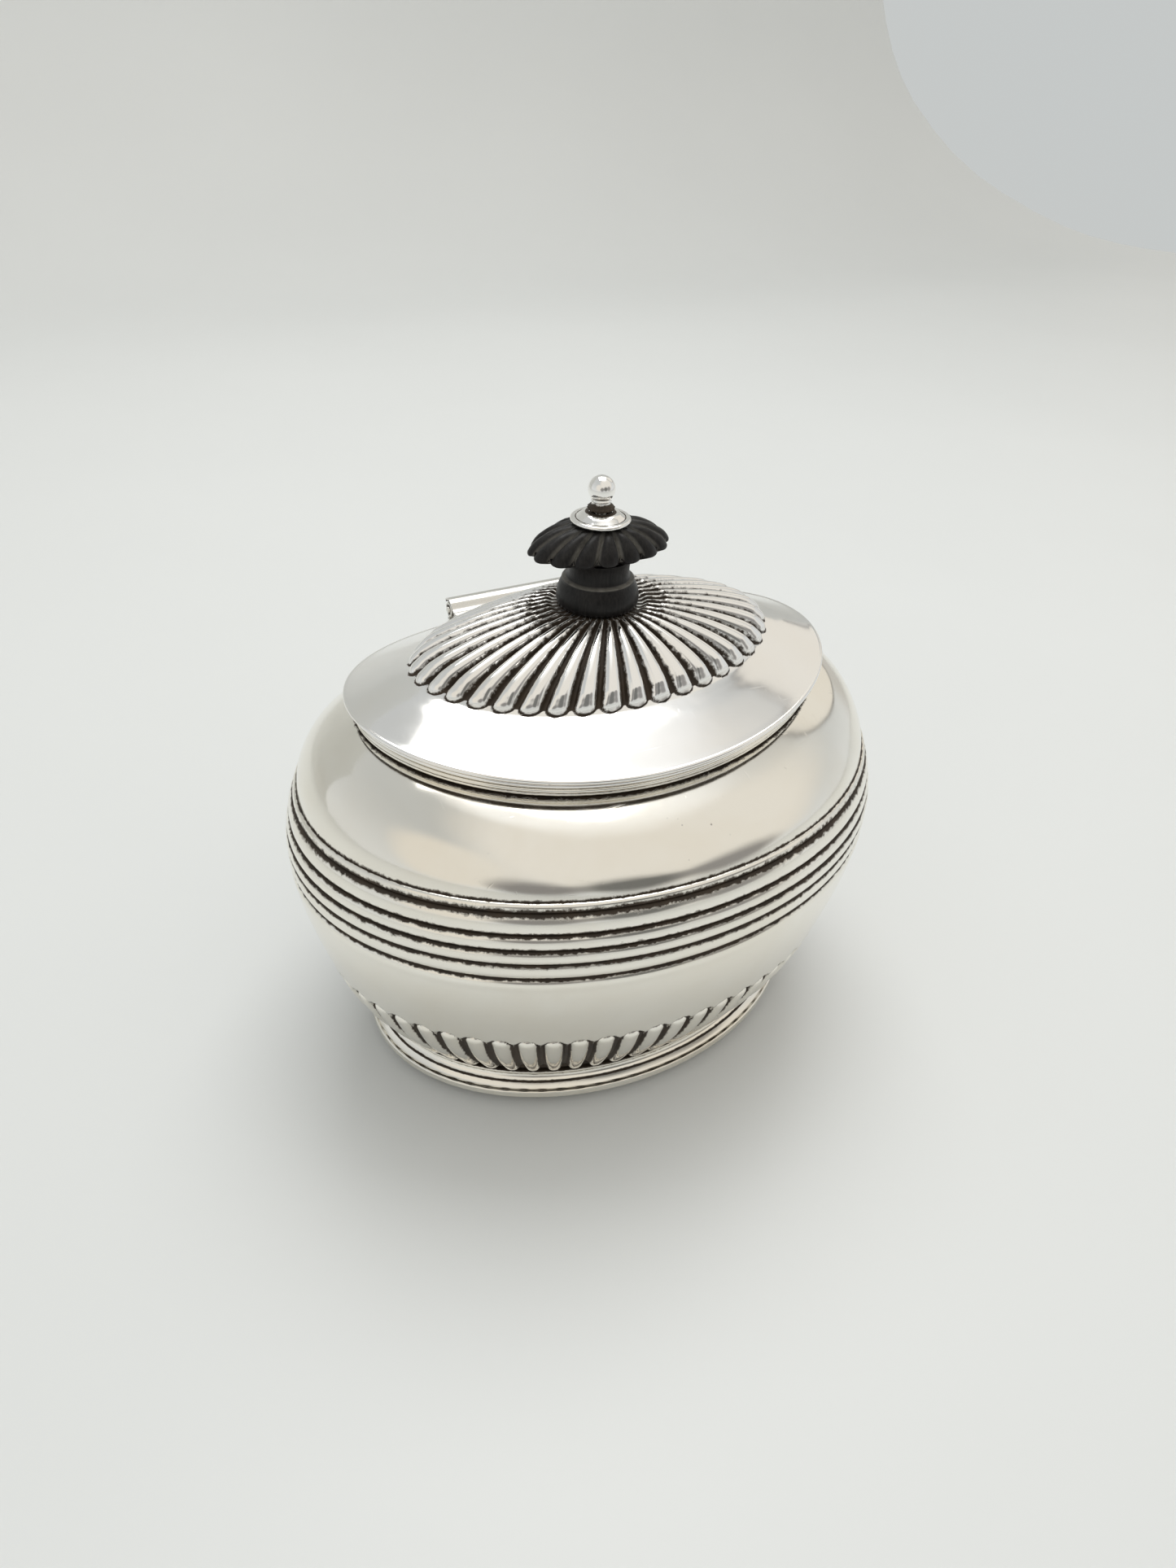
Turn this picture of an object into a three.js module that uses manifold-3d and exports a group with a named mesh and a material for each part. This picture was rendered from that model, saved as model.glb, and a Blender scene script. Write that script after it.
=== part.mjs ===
// Oval silver sugar box with a hinged domed lid and an ebony finial.
// Millimetres, +Z up, +X along the long axis, hinge at the +Y side, foot on z = 0.
import * as THREE from 'three';
import { mergeVertices } from 'three/addons/utils/BufferGeometryUtils.js';
import Module from 'manifold-3d';

const wasm = await Module();
wasm.setup();

// Oval plan: each level is an oval of half-length a and half-depth a - narrowing, where the
// narrowing grows from the belly to the mouth and again to the dome's toe.
const OVAL_NARROWING = 11.3;
const MOUTH_NARROWING = 13.0;
const DOME_NARROWING = 13.6;
// Boat-shaped mouth: from the top reed to the mouth the levels rise towards the two long ends.
const SADDLE_RISE = 4.0;
const SADDLE_HALF_LENGTH = 43;
const SADDLE_START_Z = 55;
const SADDLE_FULL_Z = 64.5;
const FIT_GAP = 0.3;

// Lobed bands.
const BODY_LOBES = 64;
const BODY_STATIONS = 2 * BODY_LOBES;
const LID_LOBES = 40;
const LID_STATIONS = 3 * LID_LOBES;
const TRIM_STATIONS = 56;
const CAP_LOBES = 16;
const CAP_STATIONS = 4 * CAP_LOBES;
const TURNED_STATIONS = 24;

// Lid.
const LID_TOP_Z = 82.7;
const LID_TOP_RADIUS = 7;
const LID_RIM = 43.25;
const LID_DOME_TOE = 32.6;
const LID_BORE_RADIUS = 1.6;

// Hinge.
const HINGE_Y = 30.9;
const HINGE_Z = 70.3;
const HINGE_HALF_LENGTH = 14.8;
const KNUCKLE_SPLIT = 5.2;
const KNUCKLE_RADIUS = 1.4;
const PIN_RADIUS = 0.6;
const PIN_CLEARANCE = 0.05;
const COVER_INNER_RADIUS = KNUCKLE_RADIUS + FIT_GAP;
const COVER_OUTER_RADIUS = 2.2;

// Finial.
const ROD_RADIUS = 1.0;
const FINIAL_BORE_RADIUS = 1.3;
const FINIAL_BASE_Z = LID_TOP_Z + FIT_GAP;
const FINIAL_CAP_Z = 91.4;
const WASHER_Z = 96.8;
const BALL_Z = 101.9;
const BALL_RADIUS = 2.15;
const ROD_TOP_Z = 101.6;
const ROD_BOTTOM_Z = 78.1;

const silver = { color: 0xd9d6cf, roughness: 0.16, metalness: 1.0 };
const ebony = { color: 0x17140f, roughness: 0.5, metalness: 0.0 };

const part = new THREE.Group();
part.name = 'silver_sugar_box';

function addPiece(name, geometry, look) {
  const material = new THREE.MeshStandardMaterial(look);
  const mesh = new THREE.Mesh(geometry, material);
  mesh.name = name;
  part.add(mesh);
}

// Point of an oval at parameter t.
function ovalPoint(a, b, t) {
  return [a * Math.cos(t), b * Math.sin(t)];
}

// Parameters that space `count` points evenly round a typical level of the bowl.
function evenParameters(count) {
  const steps = 4000;
  const lengths = [0];
  for (let i = 1; i <= steps; i++) {
    const [x0, y0] = ovalPoint(50, 50 - OVAL_NARROWING, (2 * Math.PI * (i - 1)) / steps);
    const [x1, y1] = ovalPoint(50, 50 - OVAL_NARROWING, (2 * Math.PI * i) / steps);
    lengths.push(lengths[i - 1] + Math.hypot(x1 - x0, y1 - y0));
  }
  const parameters = [];
  let step = 0;
  for (let k = 0; k < count; k++) {
    const wanted = (lengths[steps] * k) / count;
    while (lengths[step + 1] < wanted) {
      step += 1;
    }
    const share = (wanted - lengths[step]) / (lengths[step + 1] - lengths[step]);
    parameters.push((2 * Math.PI * (step + share)) / steps);
  }
  return parameters;
}

// How far up the boat shape has set in at height z, 0 to 1.
function upperShare(z) {
  return THREE.MathUtils.clamp((z - SADDLE_START_Z) / (SADDLE_FULL_Z - SADDLE_START_Z), 0, 1);
}

function halfDepth(a, z) {
  return a - THREE.MathUtils.lerp(OVAL_NARROWING, MOUTH_NARROWING, upperShare(z));
}

// Rise of a point at distance x from the middle; the finial stands on a level top.
function saddle(x, z) {
  return z < FINIAL_BASE_Z ? SADDLE_RISE * upperShare(z) * (x / SADDLE_HALF_LENGTH) ** 2 : 0;
}

// One level: half-length a, half-depth b, height z, lobes rising by `lobe` above the valleys.
function ring(parameters, a, b, z, lobe = 0, lobeCount = 0, lift = 0) {
  return parameters.map((t, k) => {
    const phase = (k * lobeCount) / parameters.length;
    const rise = lobe * Math.abs(Math.sin(Math.PI * phase));
    const [x, y] = ovalPoint(a + rise, b + rise, t);
    return new THREE.Vector3(x, y, z + lift * rise + saddle(x, z));
  });
}

// Closed solid through a list of rings; poles close its two ends, otherwise it closes on itself.
function loft(rings, poles = null) {
  const count = rings[0].length;
  const positions = [];
  const faces = [];
  rings.forEach((points) => points.forEach((p) => positions.push(p.x, p.y, p.z)));
  const spans = poles ? rings.length - 1 : rings.length;
  for (let r = 0; r < spans; r++) {
    const low = r * count;
    const high = ((r + 1) % rings.length) * count;
    for (let k = 0; k < count; k++) {
      const next = (k + 1) % count;
      faces.push(low + k, low + next, high + next);
      faces.push(low + k, high + next, high + k);
    }
  }
  if (poles) {
    const first = positions.length / 3;
    positions.push(0, 0, poles[0], 0, 0, poles[1]);
    const last = (rings.length - 1) * count;
    for (let k = 0; k < count; k++) {
      const next = (k + 1) % count;
      faces.push(first, next, k);
      faces.push(first + 1, last + k, last + next);
    }
  }
  const geometry = new THREE.BufferGeometry();
  geometry.setAttribute('position', new THREE.Float32BufferAttribute(positions, 3));
  geometry.setIndex(faces);
  geometry.computeVertexNormals();
  return geometry;
}

// Plain oval levels from [a, z] pairs.
function ovalRings(parameters, profile) {
  return profile.map(([a, z]) => ring(parameters, a, halfDepth(a, z), z));
}

function toSolid(geometry) {
  const plain = geometry.clone();
  plain.deleteAttribute('normal');
  plain.deleteAttribute('uv');
  const merged = mergeVertices(plain, 1e-4);
  const mesh = new wasm.Mesh({
    numProp: 3,
    vertProperties: new Float32Array(merged.attributes.position.array),
    triVerts: new Uint32Array(merged.index.array),
  });
  return new wasm.Manifold(mesh);
}

function toGeometry(solid) {
  const mesh = solid.getMesh();
  const geometry = new THREE.BufferGeometry();
  geometry.setAttribute('position', new THREE.Float32BufferAttribute(mesh.vertProperties, 3));
  geometry.setIndex(Array.from(mesh.triVerts));
  geometry.computeVertexNormals();
  return geometry;
}

function box(x0, x1, y0, y1, z0, z1) {
  const geometry = new THREE.BoxGeometry(x1 - x0, y1 - y0, z1 - z0);
  return geometry.translate((x0 + x1) / 2, (y0 + y1) / 2, (z0 + z1) / 2);
}

// Solid of revolution about the finial's axis from a closed [radius, z] outline.
function turned(profile, segments = TURNED_STATIONS) {
  const points = profile.map(([r, z]) => new THREE.Vector2(r, z));
  points.push(points[0].clone());
  const lathe = new THREE.LatheGeometry(points, segments);
  return lathe.rotateX(Math.PI / 2);
}

// ---- bowl ----

const bodyStations = evenParameters(BODY_STATIONS);
const lidStations = evenParameters(LID_STATIONS);
const trimStations = evenParameters(TRIM_STATIONS);

const underside = [[36, 4.5], [40.6, 4.7], [42.2, 5.3]];
// Gadrooned band: valley half-length, height, lobe height.
const gadroons = [[42.9, 6.3, 0.6], [45.0, 10.0, 1.1], [48.2, 15.8, 1.1], [50.3, 20.8, 0.9]];
const belly = [[51.7, 23.4], [54.0, 31.8], [55.3, 40.6]];
// Reeding: grooves and crests up to the narrow reed under the shoulder.
const reeds = [
  [54.6, 41.9], [55.5, 43.4], [54.6, 44.9], [55.4, 46.2], [54.4, 47.5],
  [55.1, 48.8], [53.8, 50.1], [54.5, 51.8], [52.7, 53.6], [53.3, 54.6],
];
const shoulder = [[52.0, 57.0], [49.2, 60.2], [45.6, 62.8], [41.5, 64.5], [40.05, 64.9], [40.05, 66.2]];
const inside = [
  [39.15, 66.2], [39.15, 64.2], [44.6, 61.9], [50.5, 56.3], [53.2, 45.0],
  [53.2, 38.0], [50.6, 26.5], [45.2, 15.4], [41.0, 9.2], [36.5, 5.6],
];

const bodyRings = [
  ...ovalRings(bodyStations, underside),
  ...gadroons.map(([a, z, lobe]) => ring(bodyStations, a, halfDepth(a, z), z, lobe, BODY_LOBES)),
  ...ovalRings(bodyStations, [...belly, ...reeds, ...shoulder, ...inside]),
];
addPiece('body_shell', loft(bodyRings, [4.5, 5.6]), silver);

const footProfile = [
  [43.2, 0.0], [44.7, 0.0], [44.9, 0.5], [44.8, 1.5], [43.9, 1.8], [42.2, 3.3],
  [42.6, 3.9], [42.1, 4.5], [41.0, 4.3], [41.0, 3.2], [43.0, 1.4],
];
addPiece('foot_ring', loft(ovalRings(trimStations, footProfile)), silver);

const mouthWireProfile = [
  [40.35, 65.2], [41.45, 64.95], [42.05, 65.3], [42.15, 65.8], [41.85, 66.3], [40.35, 66.3],
];
addPiece('mouth_wire', loft(ovalRings(trimStations, mouthWireProfile)), silver);

// ---- lid ----

// Half-depth of the dome's levels: round at the finial, fully oval at the toe.
function domeHalfDepth(a) {
  return a - (DOME_NARROWING * (a - LID_TOP_RADIUS)) / (LID_DOME_TOE - LID_TOP_RADIUS);
}

// Half-depth of the flange's levels, from the dome's toe to the rim.
function flangeHalfDepth(a) {
  return a - THREE.MathUtils.mapLinear(a, LID_DOME_TOE, LID_RIM, DOME_NARROWING, MOUTH_NARROWING);
}

// Dome: valley half-length, height, lobe height.
const dome = [
  [32.2, 73.6, 0.5], [31.1, 74.7, 1.4], [27.3, 76.9, 1.3],
  [20.5, 79.7, 1.0], [13.2, 81.8, 0.6], [8.6, 82.6, 0.25],
];
const flange = [
  [42.95, 67.8], [LID_RIM, 68.3], [42.75, 68.8], [39.1, 70.5], [35.6, 72.1], [33.4, 73.1],
];
const lidUnderside = [[14.0, 80.2], [21.0, 78.2], [27.7, 75.3]];
const flangeUnderside = [[32.6, 72.2], [37.1, 70.2], [41.65, 67.9]];

const lidRings = [
  ...flange.map(([a, z]) => ring(lidStations, a, flangeHalfDepth(a), z)),
  ...dome.map(([a, z, lobe]) => ring(lidStations, a, domeHalfDepth(a), z, lobe, LID_LOBES, 0.8)),
  ring(lidStations, LID_TOP_RADIUS, LID_TOP_RADIUS, LID_TOP_Z),
  ring(lidStations, LID_BORE_RADIUS, LID_BORE_RADIUS, LID_TOP_Z),
  ring(lidStations, LID_BORE_RADIUS, LID_BORE_RADIUS, LID_TOP_Z - 1.0),
  ...lidUnderside.map(([a, z]) => ring(lidStations, a, domeHalfDepth(a), z)),
  ...flangeUnderside.map(([a, z]) => ring(lidStations, a, flangeHalfDepth(a), z)),
];
addPiece('lid_cover', loft(lidRings), silver);

const lidWireProfile = [
  [41.25, 66.65], [42.15, 66.6], [42.55, 67.0], [42.25, 67.45], [41.35, 67.5],
];
addPiece('lid_edge_wire', loft(ovalRings(trimStations, lidWireProfile)), silver);

const bezelProfile = [
  [37.85, 63.6], [38.65, 63.6], [38.65, 66.5], [40.75, 66.7], [40.75, 67.4], [37.85, 67.4],
];
addPiece('lid_bezel', loft(ovalRings(trimStations, bezelProfile)), silver);

// ---- hinge ----

// Tube or rod along X between x0 and x1.
function hingeRound(radius, x0, x1, segments = 24) {
  const geometry = new THREE.CylinderGeometry(radius, radius, x1 - x0, segments);
  geometry.rotateZ(Math.PI / 2);
  return toSolid(geometry.translate((x0 + x1) / 2, HINGE_Y, HINGE_Z));
}

const knuckleBore = hingeRound(PIN_RADIUS + PIN_CLEARANCE, -20, 20);

function knuckle(x0, x1) {
  return hingeRound(KNUCKLE_RADIUS, x0, x1);
}

// Body leaf: a plate behind the lid's edge, footed on the mouth wire, with two end knuckles.
const plateBack = HINGE_Y + 0.7;
const plateFront = HINGE_Y - 0.1;
const plateTop = HINGE_Z - KNUCKLE_RADIUS - FIT_GAP;
let bodyLeaf = toSolid(box(-HINGE_HALF_LENGTH, HINGE_HALF_LENGTH, plateFront, plateBack, 65.1, plateTop));
const leafFoot = box(-HINGE_HALF_LENGTH, HINGE_HALF_LENGTH, HINGE_Y - 1.4, plateBack, 65.1, 66.1);
bodyLeaf = bodyLeaf.add(toSolid(leafFoot));
for (const side of [-1, 1]) {
  const near = side * (KNUCKLE_SPLIT + FIT_GAP / 2);
  const far = side * HINGE_HALF_LENGTH;
  const x0 = Math.min(near, far);
  const x1 = Math.max(near, far);
  const web = toSolid(box(x0, x1, plateFront, plateBack, plateTop - 0.4, HINGE_Z - 1.0));
  bodyLeaf = bodyLeaf.add(knuckle(x0, x1)).add(web);
}
addPiece('hinge_body_leaf', toGeometry(bodyLeaf.subtract(knuckleBore)), silver);

// Lid leaf: a curved cover over the knuckles that runs down on to the lid's flange.
const coverOutline = new THREE.Shape();
const coverEnd = THREE.MathUtils.degToRad(42);
const coverStart = THREE.MathUtils.degToRad(196);
coverOutline.absarc(0, 0, COVER_OUTER_RADIUS, coverEnd, THREE.MathUtils.degToRad(140), false);
coverOutline.lineTo(-3.6, 0.6);
coverOutline.lineTo(-6.3, 1.5);
coverOutline.lineTo(-6.5, 0.92);
coverOutline.lineTo(-3.2, -0.42);
coverOutline.absarc(0, 0, COVER_INNER_RADIUS, coverStart, coverEnd, true);
coverOutline.closePath();
const coverGeometry = new THREE.ExtrudeGeometry(coverOutline, {
  depth: 2 * HINGE_HALF_LENGTH,
  bevelEnabled: false,
  curveSegments: 10,
});
const outlineToWorld = new THREE.Matrix4().makeBasis(
  new THREE.Vector3(0, 1, 0),
  new THREE.Vector3(0, 0, 1),
  new THREE.Vector3(1, 0, 0),
);
coverGeometry.applyMatrix4(outlineToWorld);
coverGeometry.translate(-HINGE_HALF_LENGTH, HINGE_Y, HINGE_Z);
const middleKnuckle = knuckle(-KNUCKLE_SPLIT + FIT_GAP / 2, KNUCKLE_SPLIT - FIT_GAP / 2);
const filletWidth = KNUCKLE_SPLIT - FIT_GAP / 2;
const knuckleFillet = box(-filletWidth, filletWidth, HINGE_Y - 1, HINGE_Y + 1, HINGE_Z + 0.9, HINGE_Z + 1.9);
const lidLeaf = toSolid(coverGeometry).add(middleKnuckle).add(toSolid(knuckleFillet)).subtract(knuckleBore);
addPiece('hinge_lid_leaf', toGeometry(lidLeaf), silver);

addPiece('hinge_pin', toGeometry(hingeRound(PIN_RADIUS, -15.2, 15.2)), silver);

// ---- finial ----

const finialBaseProfile = [
  [FINIAL_BORE_RADIUS, FINIAL_BASE_Z], [6.4, FINIAL_BASE_Z], [6.8, 83.7], [6.8, 84.8], [6.5, 86.1],
  [5.9, 87.0], [5.85, 87.4], [5.3, 87.5], [5.0, 88.6], [5.1, 90.0], [5.5, 91.1],
  [FINIAL_BORE_RADIUS, 91.1],
];
addPiece('finial_base', turned(finialBaseProfile), ebony);

const capStations = evenParameters(CAP_STATIONS);
// Fluted cap: half-length, half-depth, height, lobe height.
const capTop = [
  [10.6, 6.4, 92.2, 0.6], [11.7, 7.3, 92.6, 0.8], [11.1, 6.9, 93.8, 0.8],
  [9.2, 6.0, 95.2, 0.7], [6.6, 5.0, 96.2, 0.5],
];
const capRings = [
  ring(capStations, FINIAL_BORE_RADIUS, FINIAL_BORE_RADIUS, FINIAL_CAP_Z),
  ring(capStations, 5.7, 5.5, FINIAL_CAP_Z),
  ...capTop.map(([a, b, z, lobe]) => ring(capStations, a, b, z, lobe, CAP_LOBES)),
  ring(capStations, 4.4, 4.4, 96.5),
  ring(capStations, FINIAL_BORE_RADIUS, FINIAL_BORE_RADIUS, 96.5),
];
addPiece('finial_cap', loft(capRings), ebony);

const washerProfile = [
  [FINIAL_BORE_RADIUS, WASHER_Z], [4.6, WASHER_Z], [4.85, 97.1], [4.7, 97.5], [3.9, 97.6],
  [3.2, 98.1], [2.3, 98.4], [FINIAL_BORE_RADIUS, 98.4],
];
addPiece('finial_washer', turned(washerProfile), silver);

// Ball nut: collar, waist and ball with a blind hole for the rod.
const ballProfile = [[FINIAL_BORE_RADIUS, 98.7], [2.1, 98.7], [2.2, 99.2], [1.55, 99.7]];
for (let k = 0; k <= 10; k++) {
  const angle = THREE.MathUtils.degToRad(-46 + (136 * k) / 10);
  ballProfile.push([Math.max(0, BALL_RADIUS * Math.cos(angle)), BALL_Z + BALL_RADIUS * Math.sin(angle)]);
}
ballProfile[ballProfile.length - 1][0] = 0;
ballProfile.push([0, ROD_TOP_Z + FIT_GAP], [FINIAL_BORE_RADIUS, ROD_TOP_Z + FIT_GAP]);
addPiece('finial_ball', turned(ballProfile), silver);

const rodProfile = [[0, ROD_BOTTOM_Z], [ROD_RADIUS, ROD_BOTTOM_Z], [ROD_RADIUS, ROD_TOP_Z], [0, ROD_TOP_Z]];
addPiece('finial_rod', turned(rodProfile, 20), silver);

const innerWasherProfile = [
  [FINIAL_BORE_RADIUS, 80.4], [4.5, 80.4], [4.5, 80.9], [FINIAL_BORE_RADIUS, 81.1],
];
addPiece('finial_inner_washer', turned(innerWasherProfile, 28), silver);

const nutProfile = [
  [FINIAL_BORE_RADIUS, 78.5], [3.0, 78.5], [3.0, 80.1], [FINIAL_BORE_RADIUS, 80.1],
];
addPiece('finial_nut', turned(nutProfile, 6), silver);

export default part;
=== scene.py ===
# Oval silver sugar box with a hinged lid and an ebony finial: the visual model on its CAD frame.
# Shapes are written in millimetres and turned into metres when a mesh is made.
import math
import bpy
import numpy as np
from mathutils import Euler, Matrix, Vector


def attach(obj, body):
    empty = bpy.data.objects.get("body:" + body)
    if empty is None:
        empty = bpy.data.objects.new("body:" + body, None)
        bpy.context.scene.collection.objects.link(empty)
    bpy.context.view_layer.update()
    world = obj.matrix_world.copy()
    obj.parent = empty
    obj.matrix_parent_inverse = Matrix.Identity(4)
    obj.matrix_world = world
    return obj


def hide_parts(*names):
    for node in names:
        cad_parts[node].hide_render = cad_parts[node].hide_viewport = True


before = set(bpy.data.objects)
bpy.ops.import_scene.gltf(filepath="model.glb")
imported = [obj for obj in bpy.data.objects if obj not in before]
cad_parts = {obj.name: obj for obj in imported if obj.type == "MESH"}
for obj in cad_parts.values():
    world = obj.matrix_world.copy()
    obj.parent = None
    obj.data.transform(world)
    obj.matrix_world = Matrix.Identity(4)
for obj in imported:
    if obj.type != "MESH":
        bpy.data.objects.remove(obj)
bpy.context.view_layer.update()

MM = 0.001

# Ovals: half-length minus half-depth at the belly, the mouth and the lid dome's toe.
OVAL_NARROWING = 11.3
MOUTH_NARROWING = 13.0
DOME_NARROWING = 13.6

# Boat shape of the mouth and lid: the rise at the ends, and the heights between which it sets in.
SADDLE_RISE = 4.0
SADDLE_HALF_LENGTH = 43.0
SADDLE_START_Z = 55.0
SADDLE_FULL_Z = 64.5

# Points round an oval ring, round a turned piece, and round each lobe.
OVAL_STATIONS = 480
ROUND_STATIONS = 96
BODY_LOBE_STATIONS = 14
LID_LOBE_STATIONS = 18
CAP_LOBE_STATIONS = 20

BODY_LOBES = 64
GADROON_DEPTH = 1.1
REED_GROOVES = [(54.5, 41.9), (54.6, 44.9), (54.4, 47.5), (53.8, 50.1), (52.7, 53.6), (52.5, 55.2)]
REED_HEIGHTS = (0.95, 0.95, 0.9, 1.0, 0.7)

LID_LOBES = 40
LID_TOP_RADIUS = 7.0
LID_RIM = 43.25
DOME_TOE = 32.6
LID_TOP_Z = 82.7

HINGE_Y = 30.9
HINGE_Z = 70.3
HINGE_HALF_LENGTH = 14.8
KNUCKLE_RADIUS = 1.4
HINGE_BORE = 0.65

CAP_LOBES = 16
FLUTE_DEPTH = 1.2
FINIAL_BORE = 1.3
BALL_Z = 101.9
BALL_RADIUS = 2.15

BACKDROP_RADIUS = 1250.0


# ---------------------------------------------------------------- profiles

def smooth_line(points, step=0.35):
    """Points along a centripetal spline through the given points, about `step` mm apart."""
    pts = np.array(points, float)
    if len(pts) == 2:
        count = max(2, int(np.linalg.norm(pts[1] - pts[0]) / step) + 1)
        return pts[0] + np.linspace(0, 1, count)[:, None] * (pts[1] - pts[0])
    padded = np.vstack([2 * pts[0] - pts[1], pts, 2 * pts[-1] - pts[-2]])
    out = []
    for i in range(1, len(padded) - 2):
        p0, p1, p2, p3 = padded[i - 1:i + 3]
        t1 = np.linalg.norm(p1 - p0) ** 0.5
        t2 = t1 + np.linalg.norm(p2 - p1) ** 0.5
        t3 = t2 + np.linalg.norm(p3 - p2) ** 0.5
        count = max(1, int(math.ceil(np.linalg.norm(p2 - p1) / step)))
        for t in t1 + (t2 - t1) * np.arange(count) / count:
            a1 = (t1 - t) / t1 * p0 + t / t1 * p1
            a2 = (t2 - t) / (t2 - t1) * p1 + (t - t1) / (t2 - t1) * p2
            a3 = (t3 - t) / (t3 - t2) * p2 + (t - t2) / (t3 - t2) * p3
            b1 = (t2 - t) / t2 * a1 + t / t2 * a2
            b2 = (t3 - t) / (t3 - t1) * a2 + (t - t1) / (t3 - t1) * a3
            out.append((t2 - t) / (t2 - t1) * b1 + (t - t1) / (t2 - t1) * b2)
    out.append(pts[-1])
    return np.array(out)


def arc_line(centre, radius, start, end, count=7):
    """Points of a circular arc, angles in degrees."""
    angles = np.radians(np.linspace(start, end, count))
    return np.column_stack([centre[0] + radius * np.cos(angles), centre[1] + radius * np.sin(angles)])


def bulge_line(start, end, height, count=13):
    """A half-round reed from one groove bottom to the next, bulging to the left of its direction."""
    start, end = np.array(start, float), np.array(end, float)
    along = end - start
    out = np.array([along[1], -along[0]]) / np.linalg.norm(along)
    angles = np.linspace(0, math.pi, count)
    shares = (1 - np.cos(angles)) / 2
    return start + shares[:, None] * along + (height * np.sin(angles) ** 0.8)[:, None] * out


def join_lines(*lines):
    """Runs of points one after another, without doubled points."""
    joined = [lines[0][0]]
    for line in lines:
        for point in line:
            if np.linalg.norm(np.array(point) - joined[-1]) > 0.02:
                joined.append(np.array(point, float))
    return np.array(joined)


def normals_of(profile):
    """Outward unit normals of a profile that runs with the material on its left."""
    tangent = np.gradient(profile, axis=0)
    normal = np.column_stack([tangent[:, 1], -tangent[:, 0]])
    return normal / np.maximum(np.linalg.norm(normal, axis=1), 1e-9)[:, None]


def running_length(profile):
    """Distance along the profile up to each of its points."""
    return np.concatenate([[0], np.cumsum(np.linalg.norm(np.diff(profile, axis=0), axis=1))])


# ---------------------------------------------------------------- ovals and lofts

def even_parameters(count):
    """Oval parameters that space the points evenly round a typical level of the bowl."""
    t = np.linspace(0, 2 * math.pi, 4001)
    x, y = 50 * np.cos(t), (50 - OVAL_NARROWING) * np.sin(t)
    lengths = np.concatenate([[0], np.cumsum(np.hypot(np.diff(x), np.diff(y)))])
    return np.interp(lengths[-1] * np.arange(count) / count, lengths, t)


def perimeter(a, b):
    """Ramanujan's length of an oval's edge."""
    h = ((a - b) / (a + b)) ** 2
    return math.pi * (a + b) * (1 + 3 * h / (10 + np.sqrt(4 - 3 * h)))


def upper_share(z):
    """How far up the boat shape of the mouth has set in at height z, 0 to 1."""
    return np.clip((z - SADDLE_START_Z) / (SADDLE_FULL_Z - SADDLE_START_Z), 0, 1)


def half_depth(a, z):
    """Half-depth of the body's oval of half-length a at height z."""
    return a - OVAL_NARROWING - (MOUTH_NARROWING - OVAL_NARROWING) * upper_share(z)


def lid_half_depth(a):
    """Round at the finial, narrowest for its length at the dome's toe, the mouth's oval at the rim."""
    dome = a - DOME_NARROWING * np.clip((a - LID_TOP_RADIUS) / (DOME_TOE - LID_TOP_RADIUS), 0, 1)
    flange = a - np.interp(a, [DOME_TOE, LID_RIM], [DOME_NARROWING, MOUTH_NARROWING])
    return np.where(a > DOME_TOE, flange, dome)


def level_grid(a, b, z, parameters, rise=None, normal=None):
    """Grid of points, levels by stations; `rise` lifts each point along its level's normal."""
    cos, sin = np.cos(parameters)[None, :], np.sin(parameters)[None, :]
    a, b, z = (np.asarray(v, float)[:, None] + 0 * cos for v in (a, b, z))
    if rise is not None:
        a = a + rise * normal[:, :1]
        b = b + rise * normal[:, :1]
        z = z + rise * normal[:, 1:]
    x = a * cos
    saddle = np.where(z < LID_TOP_Z + 0.05, SADDLE_RISE * upper_share(z) * (x / SADDLE_HALF_LENGTH) ** 2, 0)
    return np.stack([x, b * sin, z + saddle], axis=-1)


def mesh_object(name, vertices, faces, masks=None, smooth_angle=38.0):
    """Mesh object in metres, shaded smooth except at real corners, with named point masks."""
    mesh = bpy.data.meshes.new(name)
    mesh.from_pydata((np.asarray(vertices) * MM).tolist(), [], faces)
    for mask_name, values in (masks or {}).items():
        layer = mesh.attributes.new(mask_name, "FLOAT", "POINT")
        layer.data.foreach_set("value", np.asarray(values, np.float32).ravel())
    mesh.validate()
    mesh.shade_smooth()
    mesh.set_sharp_from_angle(angle=math.radians(smooth_angle))
    obj = bpy.data.objects.new(name, mesh)
    bpy.context.scene.collection.objects.link(obj)
    return obj


def grid_faces(levels, count, closed, start=0):
    """Quads of a grid of level loops, whose points begin at index `start`."""
    faces = []
    for level in range(levels if closed else levels - 1):
        low, high = start + level * count, start + ((level + 1) % levels) * count
        faces += [
            (low + k, low + (k + 1) % count, high + (k + 1) % count, high + k) for k in range(count)
        ]
    return faces


def loft(name, grid, closed, masks=None, smooth_angle=38.0):
    """Closed solid through a grid of levels: a loop of levels, or two capped ends."""
    levels, count = grid.shape[:2]
    vertices = grid.reshape(-1, 3)
    faces = grid_faces(levels, count, closed)
    if not closed:
        poles = [grid[0].mean(axis=0), grid[-1].mean(axis=0)]
        vertices = np.vstack([vertices, poles])
        first, last = levels * count, (levels - 1) * count
        faces += [(first, (k + 1) % count, k) for k in range(count)]
        faces += [(first + 1, last + k, last + (k + 1) % count) for k in range(count)]
        masks = {key: np.append(np.ravel(v), [0.0, 0.0]) for key, v in (masks or {}).items()}
    return mesh_object(name, vertices, faces, masks, smooth_angle)


def spread_masks(masks, stations):
    """The same mask values at every station round a profile."""
    return {key: np.repeat(values[:, None], stations, axis=1) for key, values in masks.items()}


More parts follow.
